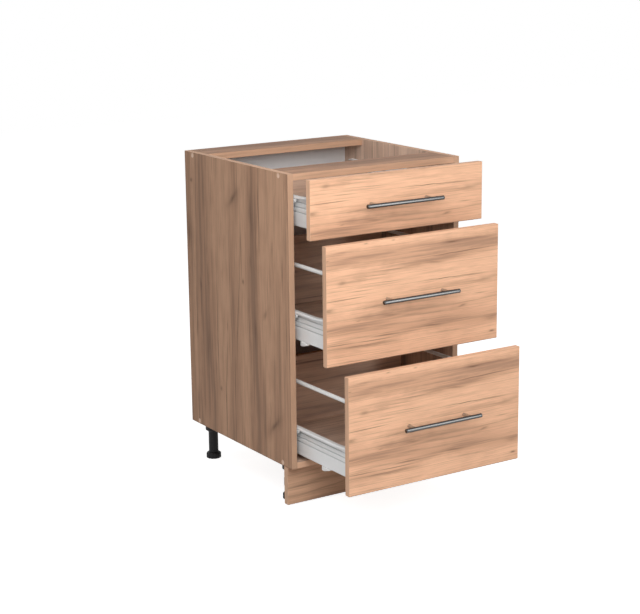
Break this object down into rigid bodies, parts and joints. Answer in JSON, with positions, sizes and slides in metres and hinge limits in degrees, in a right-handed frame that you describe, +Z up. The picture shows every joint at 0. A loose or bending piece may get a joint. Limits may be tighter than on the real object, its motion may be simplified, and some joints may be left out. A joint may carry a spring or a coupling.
{
  "type": "base cabinet with drawers",
  "caption": "Kitchen base cabinet in light oak decor with drawers on steel sides and roller runners, round bar handles, adjustable legs and a plinth.",
  "frame": {"origin": "on the floor, under the middle of the box that holds the cabinet with its drawers open as at rest; the carcass front edges are 109 mm in front of it", "axes": "+Z up, +Y towards the wall, +X to the right seen from the front; drawers open along -Y"},
  "size_m": [0.5, 0.782, 0.82],
  "materials": {
    "oak_front": "decor-faced board, satin, light oak",
    "oak_box": "decor-faced board, satin, light oak",
    "oak_carcass": "decor-faced board, satin, light oak",
    "hardboard": "white lacquered hardboard",
    "beech": "plain beech",
    "drawer_steel": "light grey powder coat",
    "rod_white": "white powder coat",
    "handle_steel": "brushed",
    "zinc_steel": "zinc plated",
    "nylon": "white nylon",
    "white_plastic": "white moulding",
    "black_plastic": "black moulding",
    "cap_plastic": "peach moulding"
  },
  "bodies": {
    "carcass": {"back_panel": "hardboard", "bottom_panel": "oak_carcass", "bottom_runners": "drawer_steel", "carcass_dowels": "beech", "corner_screws": "zinc_steel", "front_rail": "oak_carcass", "left_side_panel": "oak_carcass", "leg_screws": "zinc_steel", "legs": "black_plastic", "middle_runners": "drawer_steel", "plinth_board": "oak_carcass", "plinth_clip_screws": "zinc_steel", "plinth_clips": "black_plastic", "rear_rail": "oak_carcass", "right_side_panel": "oak_carcass", "runner_screws": "zinc_steel", "screw_cover_caps": "cap_plastic", "top_runners": "drawer_steel"},
    "top_drawer": {"top_drawer_back": "oak_box", "top_drawer_bottom": "oak_box", "top_drawer_front": "oak_front", "top_drawer_front_brackets": "zinc_steel", "top_drawer_handle": "handle_steel", "top_drawer_left_side": "drawer_steel", "top_drawer_right_side": "drawer_steel", "top_drawer_screws": "zinc_steel", "top_drawer_side_clips": "white_plastic"},
    "top_front_rollers": {"top_front_rollers": "nylon"},
    "top_rear_rollers": {"top_rear_rollers": "nylon"},
    "middle_drawer": {"middle_drawer_back": "oak_box", "middle_drawer_bottom": "oak_box", "middle_drawer_front": "oak_front", "middle_drawer_front_brackets": "zinc_steel", "middle_drawer_handle": "handle_steel", "middle_drawer_left_side": "drawer_steel", "middle_drawer_railing_holders": "white_plastic", "middle_drawer_railing_rods": "rod_white", "middle_drawer_right_side": "drawer_steel", "middle_drawer_screws": "zinc_steel", "middle_drawer_side_clips": "white_plastic"},
    "middle_front_rollers": {"middle_front_rollers": "nylon"},
    "middle_rear_rollers": {"middle_rear_rollers": "nylon"},
    "bottom_drawer": {"bottom_drawer_back": "oak_box", "bottom_drawer_bottom": "oak_box", "bottom_drawer_front": "oak_front", "bottom_drawer_front_brackets": "zinc_steel", "bottom_drawer_handle": "handle_steel", "bottom_drawer_left_side": "drawer_steel", "bottom_drawer_railing_holders": "white_plastic", "bottom_drawer_railing_rods": "rod_white", "bottom_drawer_right_side": "drawer_steel", "bottom_drawer_screws": "zinc_steel", "bottom_drawer_side_clips": "white_plastic"},
    "bottom_front_rollers": {"bottom_front_rollers": "nylon"},
    "bottom_rear_rollers": {"bottom_rear_rollers": "nylon"},
    "front_left_foot_base": {"front_left_foot_base": "black_plastic"},
    "front_right_foot_base": {"front_right_foot_base": "black_plastic"},
    "rear_left_foot_base": {"rear_left_foot_base": "black_plastic"},
    "rear_right_foot_base": {"rear_right_foot_base": "black_plastic"}
  },
  "joints": [
    {"name": "top_drawer_slide", "type": "slide", "parent": "carcass", "child": "top_drawer", "axis": [0, -1, 0], "range_m": [-0.076, 0.259]},
    {"name": "top_front_rollers_spin", "type": "hinge", "parent": "carcass", "child": "top_front_rollers", "pos_m": [0, -0.102, 0.7585], "axis": [1, 0, 0], "continuous": true},
    {"name": "top_rear_rollers_spin", "type": "hinge", "parent": "top_drawer", "child": "top_rear_rollers", "pos_m": [0, 0.249, 0.752], "axis": [1, 0, 0], "continuous": true},
    {"name": "middle_drawer_slide", "type": "slide", "parent": "carcass", "child": "middle_drawer", "axis": [0, -1, 0], "range_m": [-0.141, 0.194]},
    {"name": "middle_front_rollers_spin", "type": "hinge", "parent": "carcass", "child": "middle_front_rollers", "pos_m": [0, -0.102, 0.4815], "axis": [1, 0, 0], "continuous": true},
    {"name": "middle_rear_rollers_spin", "type": "hinge", "parent": "middle_drawer", "child": "middle_rear_rollers", "pos_m": [0, 0.184, 0.475], "axis": [1, 0, 0], "continuous": true},
    {"name": "bottom_drawer_slide", "type": "slide", "parent": "carcass", "child": "bottom_drawer", "axis": [0, -1, 0], "range_m": [-0.229, 0.106]},
    {"name": "bottom_front_rollers_spin", "type": "hinge", "parent": "carcass", "child": "bottom_front_rollers", "pos_m": [0, -0.102, 0.1945], "axis": [1, 0, 0], "continuous": true},
    {"name": "bottom_rear_rollers_spin", "type": "hinge", "parent": "bottom_drawer", "child": "bottom_rear_rollers", "pos_m": [0, 0.096, 0.188], "axis": [1, 0, 0], "continuous": true},
    {"name": "front_left_foot_screw", "type": "hinge", "parent": "carcass", "child": "front_left_foot_base", "pos_m": [-0.21, -0.037, 0], "axis": [0, 0, -1], "range_deg": [0, 1800]},
    {"name": "front_right_foot_screw", "type": "hinge", "parent": "carcass", "child": "front_right_foot_base", "pos_m": [0.21, -0.037, 0], "axis": [0, 0, -1], "range_deg": [0, 1800]},
    {"name": "rear_left_foot_screw", "type": "hinge", "parent": "carcass", "child": "rear_left_foot_base", "pos_m": [-0.21, 0.351, 0], "axis": [0, 0, -1], "range_deg": [0, 1800]},
    {"name": "rear_right_foot_screw", "type": "hinge", "parent": "carcass", "child": "rear_right_foot_base", "pos_m": [0.21, 0.351, 0], "axis": [0, 0, -1], "range_deg": [0, 1800]}
  ],
  "couplings": [
    {"joint": "top_front_rollers_spin", "follows": "top_drawer_slide", "rad_per_m": 133.33},
    {"joint": "top_rear_rollers_spin", "follows": "top_drawer_slide", "rad_per_m": 125},
    {"joint": "middle_front_rollers_spin", "follows": "middle_drawer_slide", "rad_per_m": 133.33},
    {"joint": "middle_rear_rollers_spin", "follows": "middle_drawer_slide", "rad_per_m": 125},
    {"joint": "bottom_front_rollers_spin", "follows": "bottom_drawer_slide", "rad_per_m": 133.33},
    {"joint": "bottom_rear_rollers_spin", "follows": "bottom_drawer_slide", "rad_per_m": 125}
  ]
}
